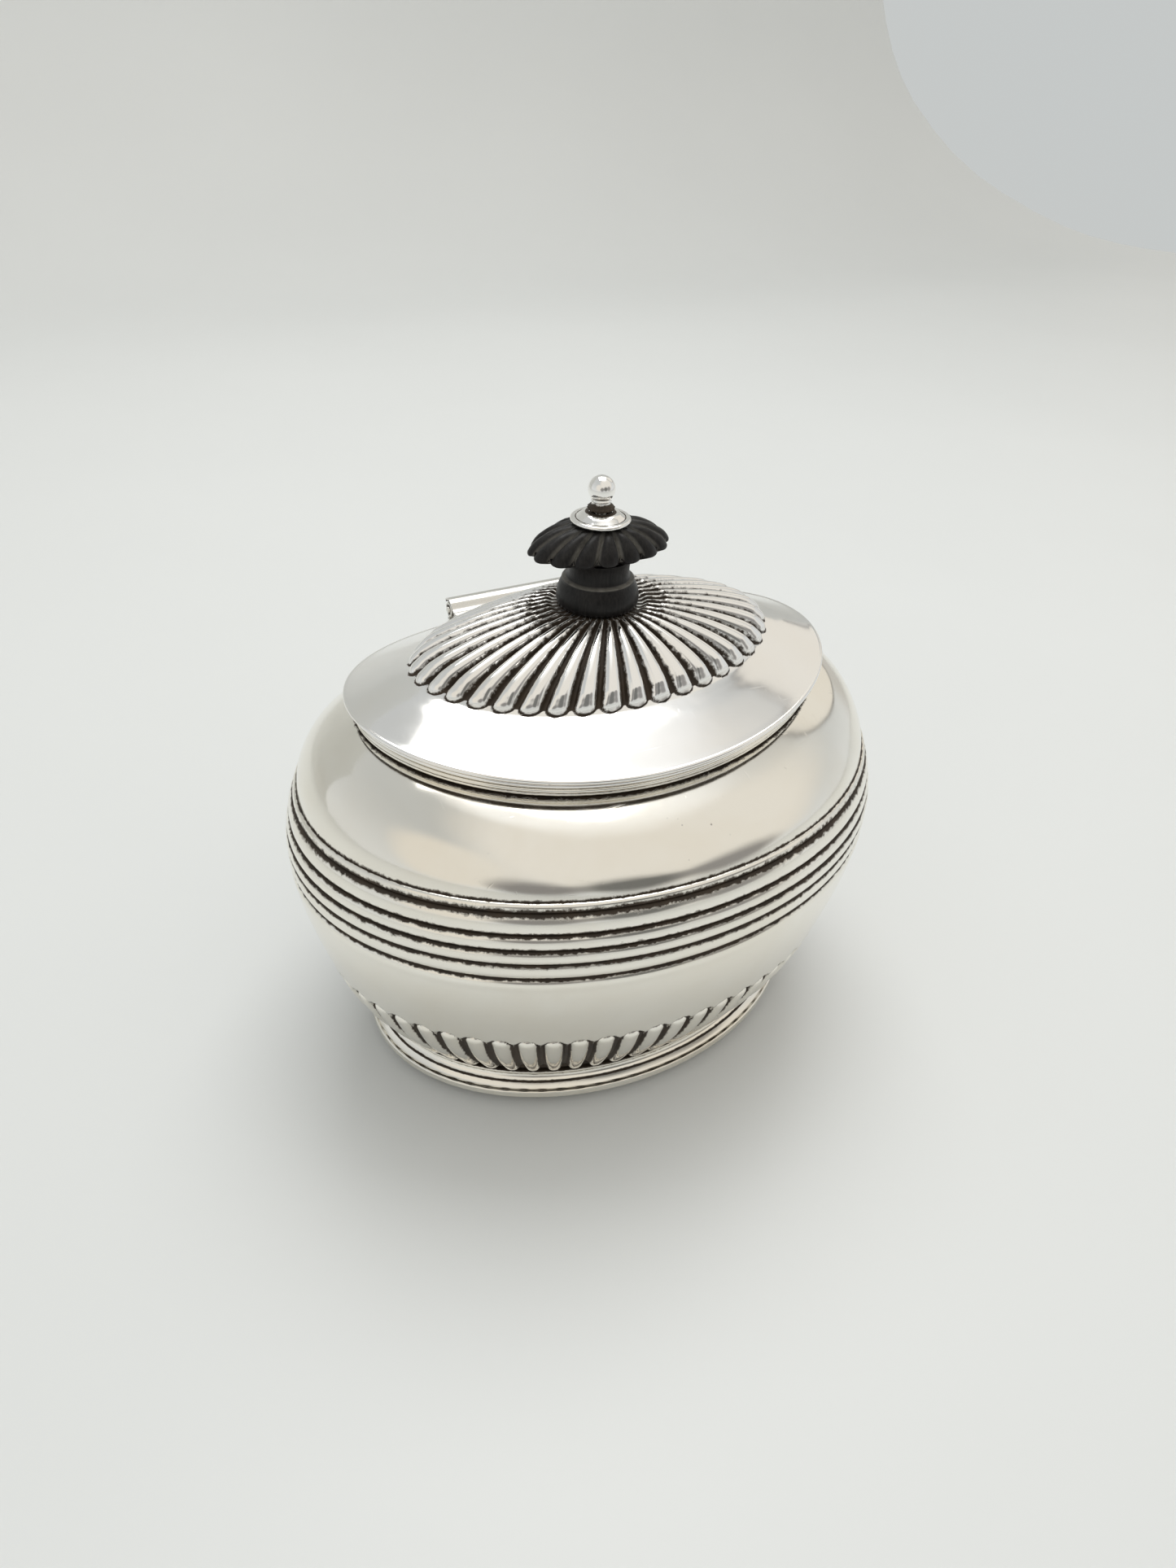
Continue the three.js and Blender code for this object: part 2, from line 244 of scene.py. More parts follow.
def oval_piece(name, profile, masks):
    """Closed ring piece: an oval loft of a closed profile of (half-length, height)."""
    a, z = profile[:, 0], profile[:, 1]
    grid = level_grid(a, half_depth(a, z), z, even_parameters(OVAL_STATIONS))
    return loft(name, grid, True, spread_masks(masks, OVAL_STATIONS))


def even_angles(count):
    """Angles of `count` points spaced evenly round a circle."""
    return 2 * math.pi * np.arange(count) / count


def turned_grid(profile):
    """Grid of a profile of (radius, height) turned about the finial's axis."""
    return level_grid(profile[:, 0], profile[:, 0], profile[:, 1], even_angles(ROUND_STATIONS))


def turned_piece(name, profile, masks):
    """Closed ring piece turned about the finial's axis."""
    return loft(name, turned_grid(profile), True, spread_masks(masks, ROUND_STATIONS), 40.0)


def lobe_field(phase, pitch, half_gap, to_tip, to_foot=None):
    """Distance from a lobe's spine over its half-width: 0 on the spine, 1 at the lobe's edge.

    phase is the position across, one whole number per lobe; to_tip and to_foot are the distances
    from the lobe's two rounded ends.
    """
    across = np.abs(phase - np.floor(phase) - 0.5) * pitch
    half_width = pitch / 2 - half_gap
    beyond = np.maximum(0, half_width - to_tip)
    if to_foot is not None:
        beyond = np.maximum(beyond, half_width - to_foot)
    return np.hypot(across, beyond), half_width


# ---------------------------------------------------------------- materials

class Graph:
    """Node tree of a material or the world, with short ways to add the nodes used here."""

    def __init__(self, tree):
        self.nodes = tree.nodes
        self.links = tree.links

    def add(self, kind, inputs=None, **settings):
        node = self.nodes.new(kind)
        for key, value in settings.items():
            setattr(node, key, value)
        for key, value in (inputs or {}).items():
            node.inputs[key].default_value = value
        return node

    def feed(self, socket, value):
        """Link an output to the socket, or set a plain value or colour on it."""
        if isinstance(value, bpy.types.NodeSocket):
            self.links.new(value, socket)
        elif isinstance(value, tuple):
            socket.default_value = (*value, 1.0)
        else:
            socket.default_value = value

    def noise(self, coords, scale, detail=4.0, roughness=0.55, distortion=0.0):
        node = self.add("ShaderNodeTexNoise", {
            "Scale": scale, "Detail": detail, "Roughness": roughness, "Distortion": distortion,
        })
        self.links.new(coords, node.inputs["Vector"])
        return node.outputs["Fac"]

    def remap(self, value, from_min, from_max, to_min=0.0, to_max=1.0):
        node = self.add("ShaderNodeMapRange", {
            "From Min": from_min, "From Max": from_max, "To Min": to_min, "To Max": to_max,
        })
        self.links.new(value, node.inputs["Value"])
        return node.outputs["Result"]

    def maths(self, operation, first, second, clamp=True):
        node = self.add("ShaderNodeMath", operation=operation, use_clamp=clamp)
        for socket, value in zip(node.inputs, (first, second)):
            self.feed(socket, value)
        return node.outputs["Value"]

    def mix(self, factor, first, second):
        node = self.add("ShaderNodeMix", data_type="RGBA")
        sockets = [socket for socket in node.inputs if socket.type == "RGBA"]
        for socket, value in zip(sockets, (first, second)):
            self.feed(socket, value)
        self.links.new(factor, node.inputs["Factor"])
        return next(socket for socket in node.outputs if socket.type == "RGBA")

    def stretched(self, coords, turn, scale):
        """Object coordinates turned and stretched, for marks that run one way."""
        node = self.add("ShaderNodeMapping", {"Rotation": turn, "Scale": scale})
        self.links.new(coords, node.inputs["Vector"])
        return node.outputs["Vector"]


def new_material(name):
    """A new material, with its graph and its shader."""
    material = bpy.data.materials.new(name)
    material.use_nodes = True
    return material, Graph(material.node_tree), material.node_tree.nodes["Principled BSDF"]


def add_bump(graph, shader, height, strength, distance):
    """Fine relief in the shading, `distance` metres for a height of 1."""
    bump = graph.add("ShaderNodeBump", {"Strength": strength, "Distance": distance})
    graph.links.new(height, bump.inputs["Height"])
    graph.links.new(bump.outputs["Normal"], shader.inputs["Normal"])


def silver_material(name, clean, tarnish, tarnish_amount, polish, wear):
    """Hand-polished silver: tarnish clouds, fine scratches, pits, and dark colour where the point mask says,
    which holds oxide in the hollows together with painted shade and a painted dark reflection.
    """
    material, graph, shader = new_material(name)
    coords = graph.add("ShaderNodeTexCoord").outputs["Object"]
    oxide_and_shade = graph.add("ShaderNodeAttribute", attribute_name="oxide_and_shade").outputs["Fac"]

    cloud = graph.noise(coords, 38.0, 5.0, 0.6, 0.4)
    colour = graph.mix(graph.remap(cloud, 0.42, 0.78, 0.0, tarnish_amount), clean, tarnish)

    ragged = graph.noise(coords, 900.0, 6.0, 0.7)
    # Dark colour from the point mask: oxide in the hollows, plus painted shade and painted dark reflection
    # where the pieces set them.
    dark_oxide_and_shade = graph.maths("ADD", oxide_and_shade, graph.remap(ragged, 0.3, 0.7, -0.28, 0.22))
    dark_oxide_and_shade = graph.remap(dark_oxide_and_shade, 0.20, 0.46)

    pits = graph.add("ShaderNodeTexVoronoi", {"Scale": 260.0, "Randomness": 1.0})
    graph.links.new(coords, pits.inputs["Vector"])
    pit_limit = graph.remap(graph.noise(coords, 70.0, 2.0), 0.58, 0.78, 0.0, 0.09 * wear)
    pit_depth = graph.maths("SUBTRACT", pit_limit, pits.outputs["Distance"])
    pit_mask = graph.maths("MULTIPLY", graph.remap(pit_depth, 0.0, 0.04), 0.75)
    dark = graph.maths("MAXIMUM", dark_oxide_and_shade, pit_mask)

    brown = graph.noise(coords, 320.0, 3.0)
    oxide_and_shade_colour = graph.mix(brown, (0.012, 0.010, 0.008), (0.075, 0.05, 0.03))
    graph.feed(shader.inputs["Base Color"], graph.mix(dark, colour, oxide_and_shade_colour))
    graph.feed(shader.inputs["Metallic"], graph.remap(dark, 0.0, 1.0, 1.0, 0.25))

    smears = graph.noise(coords, 95.0, 4.0, 0.65, 0.8)
    rough = graph.remap(smears, 0.3, 0.75, polish, polish + 0.09)
    rough = graph.maths("ADD", rough, graph.maths("MULTIPLY", dark, 0.5))
    graph.feed(shader.inputs["Roughness"], rough)

    dents = graph.noise(coords, 120.0, 2.0, 0.5)
    height = graph.maths("MULTIPLY", dents, 2.2, clamp=False)
    for turn, scale in (
        ((0.3, 0.9, 0.4), (60.0, 2600.0, 700.0)),
        ((1.1, 0.2, 1.9), (2400.0, 90.0, 800.0)),
        ((0.7, 1.6, 2.6), (90.0, 900.0, 2600.0)),
    ):
        lines = graph.noise(graph.stretched(coords, turn, scale), 1.0, 2.0, 0.5)
        scratch = graph.remap(lines, 0.70, 0.78, 0.0, -0.35 * wear)
        height = graph.maths("ADD", height, scratch, clamp=False)
    add_bump(graph, shader, height, 0.35, 0.00004)
    return material


def ebony_material():
    """Satin ebony: fine grain, and pale painted highlights along the flutes and on the neck's ring."""
    material, graph, shader = new_material("ebony")
    coords = graph.add("ShaderNodeTexCoord").outputs["Object"]
    highlight_mask = graph.add("ShaderNodeAttribute", attribute_name="painted_highlight").outputs["Fac"]
    along_grain = graph.stretched(coords, (0.1, 0.05, 0.0), (2600.0, 2600.0, 260.0))
    grain = graph.noise(along_grain, 1.0, 4.0)
    grain_mask = graph.remap(grain, 0.35, 0.75)
    colour = graph.mix(grain_mask, (0.006, 0.0055, 0.0055), (0.020, 0.018, 0.017))
    patches = graph.noise(coords, 500.0, 5.0, 0.65)
    # Pale painted highlight, patchy in strength, where the point mask says.
    painted_highlight = graph.maths("MULTIPLY", highlight_mask, graph.remap(patches, 0.25, 0.6, 0.35, 1.0))
    graph.feed(shader.inputs["Base Color"], graph.mix(painted_highlight, colour, (0.24, 0.23, 0.205)))
    graph.feed(shader.inputs["Roughness"], graph.remap(patches, 0.3, 0.7, 0.30, 0.48))
    shader.inputs["Specular IOR Level"].default_value = 0.24
    add_bump(graph, shader, grain, 0.5, 0.00005)
    return material


body_silver = silver_material("body_silver", (0.91, 0.885, 0.82), (0.78, 0.70, 0.56), 0.35, 0.075, 1.0)
foot_silver = silver_material("foot_silver", (0.90, 0.87, 0.80), (0.74, 0.64, 0.46), 0.55, 0.12, 1.2)
lid_silver = silver_material("lid_silver", (0.94, 0.93, 0.91), (0.82, 0.75, 0.63), 0.25, 0.07, 0.8)
# The hinge's silver is painted darker than the body's: painted shade that dims its reflections.
hinge_silver = silver_material("hinge_silver", (0.78, 0.77, 0.74), (0.66, 0.61, 0.50), 0.4, 0.20, 1.0)
finial_silver = silver_material("finial_silver", (0.95, 0.94, 0.92), (0.80, 0.74, 0.62), 0.25, 0.06, 0.6)
ebony = ebony_material()


def finish_piece(obj, material, slot, body, *nodes):
    """Material, body and the CAD nodes this piece stands for; `slot` is not used."""
    obj.data.materials.append(material)
    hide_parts(*nodes)
    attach(obj, body)


# ---------------------------------------------------------------- bowl

def groove_mask(profile, grooves, width):
    """1 within a quarter of `width` mm of a groove bottom, falling to 0."""
    distance = np.full(len(profile), 1e9)
    for point in grooves:
        distance = np.minimum(distance, np.linalg.norm(profile - np.array(point), axis=1))
    return np.clip(1.25 - distance / width, 0, 1)


def build_bowl():
    """Bowl in one sheet: floor, gadrooned lower body, reeded belly, shoulder, mouth and inside."""
    reeds = [
        bulge_line(low, high, height)
        for low, high, height in zip(REED_GROOVES, REED_GROOVES[1:], REED_HEIGHTS)
    ]
    outside = join_lines(
        smooth_line([(0.4, 4.5), (36.0, 4.5), (40.8, 4.7)], 3.0),
        smooth_line([
            (40.8, 4.7), (42.1, 5.1), (43.8, 6.4), (46.1, 9.8), (49.2, 15.4), (51.1, 20.3), (52.1, 24.0),
        ], 0.3),
        smooth_line([
            (52.1, 24.0), (53.3, 28.7), (54.5, 34.2), (55.2, 38.8), (55.35, 41.1), (54.5, 41.9),
        ], 0.6),
        *reeds,
        smooth_line([
            (52.5, 55.2), (52.05, 56.9), (49.7, 60.0), (46.3, 62.5), (43.4, 63.9), (41.7, 64.5), (40.05, 64.75),
        ], 0.6),
    )
    inside = join_lines(
        smooth_line([(40.05, 64.75), (40.05, 65.75)], 0.6),
        arc_line((39.6, 65.75), 0.45, 0, 180, 9),
        smooth_line([(39.15, 65.6), (39.15, 64.4)], 0.6),
        smooth_line([
            (39.15, 64.4), (41.2, 63.4), (44.6, 61.9), (50.5, 56.3), (53.2, 45.0), (53.2, 38.0),
            (50.6, 26.5), (45.2, 15.4), (41.0, 9.2), (36.5, 5.7), (20.0, 5.6), (0.4, 5.6),
        ], 1.6),
    )
    profile = join_lines(outside, inside)
    count = BODY_LOBES * BODY_LOBE_STATIONS
    stations = even_parameters(count)
    phase = (np.arange(count) * BODY_LOBES / count)[None, :]
    a, z = profile[:, 0], profile[:, 1]
    b = a * half_depth(np.maximum(a, 36.0), z) / np.maximum(a, 36.0)
    length = running_length(profile)
    outer = np.arange(len(profile)) < len(outside)
    foot_at = length[np.argmin(np.abs(z - 5.6) + 100 * ~outer + 100 * (a < 42))]
    tip_at = length[np.argmin(np.abs(z - 23.2) + 100 * ~outer)]
    distance, half_width = lobe_field(
        phase,
        (perimeter(np.maximum(a, 36.0), b) / BODY_LOBES)[:, None],
        0.52,
        (tip_at - length)[:, None],
        (length - foot_at)[:, None],
    )

    # Gadroons: round crowns from foot to tip, sunk into the sheet, with dark gaps between them that are part
    # oxide and part painted shade in the sunk valleys.
    in_band = (outer & (length > foot_at - 1.0) & (length < tip_at + 2.0))[:, None]
    share = distance / half_width
    crown = (GADROON_DEPTH + 0.05) * np.sqrt(np.clip(1 - share ** 2.2, 0, 1)) - GADROON_DEPTH
    beside_tip = (tip_at - length < half_width[:, 0] + 0.5)[:, None]
    climb = np.clip((distance - half_width - 0.28) / 0.35, 0, 1) * beside_tip
    rise = np.where(share < 1, crown, GADROON_DEPTH * (climb - 1))
    rise = np.where(in_band, rise, 0.0)
    grid = level_grid(a, b, z, stations, rise, normals_of(profile))
    # The dark gaps are part oxide and part painted shade; the floors sunk deepest are painted darkest.
    oxide_and_shade = np.where(in_band, np.clip(1.1 - np.abs(distance - half_width - 0.12) / 0.5, 0, 1), 0.0)
    oxide_and_shade = np.where(in_band & (rise < -0.75), np.maximum(oxide_and_shade, 0.9), oxide_and_shade)

    # Oxide lines: between the reeds, under the mouth wire and along the foot's joint.
    lines = groove_mask(profile, REED_GROOVES[:4], 0.95)
    lines = np.maximum(lines, groove_mask(profile, REED_GROOVES[4:5], 1.25))
    lines = np.maximum(lines, 0.7 * groove_mask(profile, REED_GROOVES[5:], 0.3))
    lines = np.maximum(lines, np.clip(1.3 - np.abs(z - 64.75) / 0.35, 0, 1) * outer)
    lines = np.maximum(lines, np.clip((5.9 - z) / 0.8, 0, 1) * outer * (a > 40))
    oxide_and_shade = np.maximum(oxide_and_shade, lines[:, None])
    bowl = loft("bowl", grid, False, {"oxide_and_shade": oxide_and_shade}, 50.0)
    finish_piece(bowl, body_silver, "body_silver", "base", "body_shell")


def build_foot():
    """Stepped foot ring, hollow behind."""
    profile = join_lines(
        smooth_line([(43.2, 0.0), (44.6, 0.0)], 0.4),
        arc_line((44.6, 0.3), 0.3, -90, 0, 5),
        smooth_line([(44.9, 0.3), (44.9, 1.2)], 0.3),
        arc_line((44.6, 1.2), 0.3, 0, 90, 5),
        smooth_line([(44.6, 1.5), (44.1, 1.55), (43.6, 2.0), (43.2, 2.5)], 0.2),
        smooth_line([(43.2, 2.5), (42.95, 2.55)], 0.2),
        smooth_line([(42.95, 2.55), (42.55, 2.9), (42.3, 3.4), (42.15, 3.7)], 0.2),
        arc_line((42.2, 4.1), 0.42, -70, 110, 11),
        smooth_line([(41.8, 4.55), (41.0, 4.3), (41.0, 3.2), (41.8, 2.2), (43.0, 1.4), (43.2, 0.0)], 0.4),
    )[:-1]
    grooves = [(43.2, 2.5), (42.15, 3.65)]
    solder = np.clip((profile[:, 1] - 4.25) / 0.3, 0, 1)
    masks = {"oxide_and_shade": np.maximum(groove_mask(profile, grooves, 0.28), solder)}
    foot = oval_piece("foot", profile, masks)
    finish_piece(foot, foot_silver, "foot_silver", "base", "foot_ring")


def build_mouth_wire():
    """Moulded wire round the mouth, over a dark line of solder."""
    profile = join_lines(
        smooth_line([(40.35, 66.3), (40.35, 65.2), (41.05, 64.95), (41.65, 64.95)], 0.3),
        arc_line((41.6, 65.25), 0.3, -90, 60, 7),
        smooth_line([(41.75, 65.5), (41.8, 65.6)], 0.2),
        arc_line((41.7, 65.95), 0.4, -70, 90, 9),
        smooth_line([(41.7, 66.35), (40.35, 66.3)], 0.4),
    )[:-1]
    solder = np.clip((65.15 - profile[:, 1]) / 0.2, 0, 1)
    masks = {"oxide_and_shade": np.maximum(groove_mask(profile, [(41.75, 65.55)], 0.14), solder)}
    wire = oval_piece("mouth_moulding", profile, masks)
    finish_piece(wire, body_silver, "body_silver", "base", "mouth_wire")


# ---------------------------------------------------------------- lid

def build_lid():
    """Domed lid in one sheet: rolled rim, smooth flange and lobes that radiate from the finial."""
    outside = join_lines(
        smooth_line([(41.65, 67.9), (42.75, 67.75)], 0.4),
        arc_line((42.8, 68.2), 0.45, -90, 100, 11),
        smooth_line([(42.65, 68.68), (42.25, 68.85)], 0.3),
        smooth_line([(42.25, 68.85), (39.1, 70.45), (36.2, 71.85), (34.4, 72.6)], 0.7),
        smooth_line([
            (34.4, 72.6), (32.6, 73.4), (30.6, 74.55), (27.3, 76.6), (20.5, 79.5), (13.2, 81.65), (8.8, 82.5),
            (7.0, 82.7),
        ], 0.3),
        smooth_line([(7.0, 82.7), (1.6, 82.7)], 1.5),
    )
    profile = join_lines(
        outside,
        smooth_line([(1.6, 82.7), (1.6, 81.7)], 0.5),
        smooth_line([
            (1.6, 81.7), (7.0, 81.35), (14.0, 80.2), (21.0, 78.2), (27.7, 75.3), (32.6, 72.2), (37.1, 70.2),
            (41.65, 67.9),
        ], 1.5),
    )[:-1]
    count = LID_LOBES * LID_LOBE_STATIONS
    stations = even_parameters(count)
    phase = (np.arange(count) * LID_LOBES / count)[None, :]
    a, z = profile[:, 0], profile[:, 1]
    b = lid_half_depth(a)
    length = running_length(profile)
    outer = np.arange(len(profile)) < len(outside)
    toe_at = length[np.argmin(np.abs(a - 32.5) + 100 * ~outer)]
    centre_at = length[np.argmin(np.abs(a - 7.2) + 100 * ~outer)]
    pitch = (perimeter(a, b) / LID_LOBES)[:, None]
    half_gap = (0.18 + 0.22 * np.clip(a / 30.0, 0, 1) ** 1.5)[:, None]
    distance, half_width = lobe_field(phase, pitch, half_gap, (length - toe_at)[:, None])
    share = distance / np.maximum(half_width, 0.05)
    in_dome = (outer & (length > toe_at - 0.5) & (length < centre_at))[:, None]
    fullness = np.clip((length - toe_at) / 4.0, 0, 1) ** 0.5
    height = (0.35 + 1.25 * np.clip(a / 30.0, 0, 1) * fullness) * np.clip((centre_at - length) / 1.2, 0, 1)
    crown = height[:, None] * np.sqrt(np.clip(1 - share ** 2.4, 0, 1))
    rise = np.where(in_dome & (share < 1), crown, 0.0)
    grid = level_grid(a, b, z, stations, rise, normals_of(profile))
    gap_share = np.clip(1.1 - (half_width + half_gap - distance) / (half_gap * 2.1), 0, 1)
    oxide_and_shade = np.where(in_dome, np.where(length[:, None] > toe_at + 1.2, gap_share, 0), 0)
    # Painted shadow round the rounded outer ends of the lobes, where they stand proud of the flange.
    toe_line = np.clip(1.0 - np.abs(distance - half_width - 0.05) / 0.35, 0, 1)
    near_toe = in_dome & (length[:, None] < toe_at + 3.2)
    oxide_and_shade = np.where(near_toe, np.maximum(oxide_and_shade, 0.8 * toe_line), oxide_and_shade)
    oxide_and_shade = np.maximum(oxide_and_shade, (np.clip((68.0 - z) / 0.25, 0, 1) * outer)[:, None])
    # Painted dark reflection plus tarnish round the finial's foot, darkest towards the lobes' edges.
    near_finial = (np.clip(1.25 - (b - LID_TOP_RADIUS) / 5.5, 0, 1) * outer)[:, None]
    oxide_and_shade = np.maximum(oxide_and_shade, near_finial * (0.30 + 0.7 * np.clip(share - 0.35, 0, 1)))
    lid = loft("lid", grid, True, {"oxide_and_shade": oxide_and_shade}, 50.0)
    finish_piece(lid, lid_silver, "lid_silver", "lid", "lid_cover")


def build_lid_edge():
    """Wire under the lid's rim, and the flange inside it that drops into the mouth."""
    wire_profile = join_lines(
        smooth_line([(41.25, 67.5), (41.25, 66.65)], 0.4),
        smooth_line([(41.25, 66.65), (41.95, 66.6)], 0.3),
        arc_line((42.0, 67.05), 0.45, -90, 90, 11),
        smooth_line([(42.0, 67.5), (41.25, 67.5)], 0.4),
    )[:-1]
    masks = {"oxide_and_shade": np.clip((41.8 - wire_profile[:, 0]) / 0.3, 0, 0.32)}
    wire = oval_piece("lid_wire", wire_profile, masks)
    finish_piece(wire, lid_silver, "lid_silver", "lid", "lid_edge_wire")
    bezel_profile = join_lines(
        arc_line((38.25, 64.0), 0.4, 180, 360, 9),
        smooth_line([(38.65, 64.0), (38.65, 66.3)], 0.6),
        smooth_line([(38.65, 66.3), (38.95, 66.6), (40.75, 66.7)], 0.3),
        smooth_line([(40.75, 66.7), (40.75, 67.4)], 0.4),
        smooth_line([(40.75, 67.4), (37.85, 67.4)], 0.8),
        smooth_line([(37.85, 67.4), (37.85, 64.0)], 0.6),
    )[:-1]
    masks = {"oxide_and_shade": np.clip((bezel_profile[:, 1] - 66.2) / 0.6, 0, 0.28)}
    bezel = oval_piece("lid_inner_flange", bezel_profile, masks)
    finish_piece(bezel, lid_silver, "lid_silver", "lid", "lid_bezel")


# ---------------------------------------------------------------- hinge

def along_hinge(outline, x0, x1, bevel=0.12):
    """Solid with the given (Y, Z) outline about the hinge axis, between two X planes, ends eased."""
    outline = np.asarray(outline, float)
    centre = outline.mean(axis=0)
    rows = []
    for x, shrink in ((x0, bevel), (x0 + bevel, 0.0), (x1 - bevel, 0.0), (x1, bevel)):
        inward = centre - outline
        size = np.linalg.norm(inward, axis=1)[:, None]
        moved = outline + inward / size * shrink
        rows.append(np.column_stack([np.full(len(moved), x), moved[:, 0] + HINGE_Y, moved[:, 1] + HINGE_Z]))
    return np.array(rows)


def hinge_loops(rows, stations):
    """Circles about the hinge axis, one for each (radius, X)."""
    angles = even_angles(stations)
    return np.array([
        np.column_stack([np.full(stations, x), HINGE_Y + r * np.cos(angles), HINGE_Z + r * np.sin(angles)])
        for r, x in rows
    ])


def ring_tube(outer_radius, inner_radius, x0, x1, stations=48, bevel=0.1):
    """Tube along the hinge axis with eased edges, as a closed grid of loops."""
    return hinge_loops([
        (inner_radius, x0), (outer_radius - bevel, x0), (outer_radius, x0 + bevel),
        (outer_radius, x1 - bevel), (outer_radius - bevel, x1), (inner_radius, x1),
    ], stations)


def joined(name, parts):
    """One mesh from several closed grids, each given as (grid, closed), darker between the knuckles, with
    painted shade round the pin and at the barrel's ends.
    """
    vertices, faces = [], []
    for grid, closed in parts:
        levels, count = grid.shape[:2]
        start = len(vertices)
        vertices += grid.reshape(-1, 3).tolist()
        faces += [face[::-1] for face in grid_faces(levels, count, closed, start)]
        if not closed:
            last = start + (levels - 1) * count
            faces.append(tuple(range(start, start + count)))
            faces.append(tuple(last + k for k in reversed(range(count))))
    vertices = np.array(vertices)
    x = np.abs(vertices[:, 0])
    radius = np.hypot(vertices[:, 1] - HINGE_Y, vertices[:, 2] - HINGE_Z)
    between_knuckles = np.clip(1.2 - np.abs(x - 5.2) / 0.5, 0, 1) * (radius < 1.5)
    # Painted shade: a dark ring round the pin and a dark outline at the barrel's ends, in the gaps between the
    # parts.
    round_pin = np.clip(1.2 - np.abs(radius - 0.72) / 0.12, 0, 1)
    at_end = (x > HINGE_HALF_LENGTH - 0.05) * np.clip(1.2 - np.abs(radius - 1.55) / 0.25, 0, 1)
    oxide_and_shade = np.maximum(np.maximum(between_knuckles, round_pin), at_end)
    return mesh_object(name, vertices, faces, {"oxide_and_shade": oxide_and_shade}, 35.0)


def build_hinge():
    """Leaf with two knuckles on the bowl, leaf curled over them on the lid, and the pin."""
    half = HINGE_HALF_LENGTH
    plate = smooth_corners([(-0.1, -5.2), (0.7, -5.2), (0.7, -1.7), (-0.1, -1.7)])
    foot = smooth_corners([(-1.4, -5.2), (0.7, -5.2), (0.7, -4.2), (-1.4, -4.2)])
    web = smooth_corners([(-0.1, -2.1), (0.7, -2.1), (0.7, -1.0), (-0.1, -1.0)])
    parts = [(along_hinge(plate, -half, half), False), (along_hinge(foot, -half, half), False)]
    for x0, x1 in ((-half, -5.35), (5.35, half)):
        parts.append((ring_tube(KNUCKLE_RADIUS, HINGE_BORE, x0, x1), True))
        parts.append((along_hinge(web, x0, x1), False))
    leaf = joined("hinge_leaf_on_bowl", parts)
    finish_piece(leaf, hinge_silver, "hinge_silver", "base", "hinge_body_leaf")

    cover = join_lines(
        arc_line((0, 0), 2.2, 42, 128, 16),
        smooth_line([(-1.35, 1.73), (-2.4, 0.75), (-3.6, 0.6), (-5.0, 1.1), (-6.3, 1.5)], 0.3),
        smooth_line([(-6.3, 1.5), (-6.5, 0.92)], 0.3),
        smooth_line([(-6.5, 0.92), (-4.8, 0.25), (-3.2, -0.42)], 0.5),
        arc_line((0, 0), 1.7, 196, 42, 22),
    )
    fillet = smooth_corners([(-1.0, 0.9), (1.0, 0.9), (1.0, 1.85), (-1.0, 1.85)])
    parts = [
        (along_hinge(cover, -half, half, 0.0), False),
        (ring_tube(KNUCKLE_RADIUS, HINGE_BORE, -5.05, 5.05), True),
        (along_hinge(fillet, -5.05, 5.05), False),
    ]
    leaf = joined("hinge_leaf_on_lid", parts)
    finish_piece(leaf, hinge_silver, "hinge_silver", "lid", "hinge_lid_leaf")

    rows = [(0.3, -15.2), (0.52, -15.1), (0.6, -14.9), (0.6, 14.9), (0.52, 15.1), (0.3, 15.2)]
    pin = joined("hinge_rod", [(hinge_loops(rows, 32), False)])
    finish_piece(pin, hinge_silver, "hinge_silver", "base", "hinge_pin")


def smooth_corners(corners, radius=0.12):
    """A polygon with its corners cut back a little."""
    corners = np.array(corners, float)
    out = []
    for previous, corner, following in zip(np.roll(corners, 1, 0), corners, np.roll(corners, -1, 0)):
        for other in (previous, following):
            direction = other - corner
            out.append(corner + direction / np.linalg.norm(direction) * radius)
    return np.array(out)


# ---------------------------------------------------------------- finial

def build_finial_base():
    """Turned ebony neck with a pale painted highlight ring on its ledge."""
    profile = join_lines(
        smooth_line([(FINIAL_BORE, 83.0), (6.3, 83.0)], 1.0),
        smooth_line([
            (6.3, 83.0), (6.62, 83.2), (6.8, 83.8), (6.8, 84.7), (6.55, 85.8), (6.2, 86.6), (6.0, 87.05),
        ], 0.2),
        smooth_line([(6.0, 87.05), (5.95, 87.35), (5.75, 87.5)], 0.12),
        smooth_line([(5.75, 87.5), (5.35, 87.6), (5.1, 88.2), (5.05, 89.0), (5.15, 90.0), (5.5, 91.1)], 0.25),
        smooth_line([(5.5, 91.1), (FINIAL_BORE, 91.1)], 1.0),
        smooth_line([(FINIAL_BORE, 91.1), (FINIAL_BORE, 83.0)], 2.0),
    )[:-1]
    # Painted highlight: a thin pale ring along the edge of the ledge.
    painted_highlight = np.clip(1.3 - np.abs(profile[:, 1] - 87.48) / 0.16, 0, 1) * (profile[:, 0] > 5)
    base = turned_piece("finial_neck", profile, {"painted_highlight": painted_highlight})
    finish_piece(base, ebony, "ebony", "lid", "finial_base")


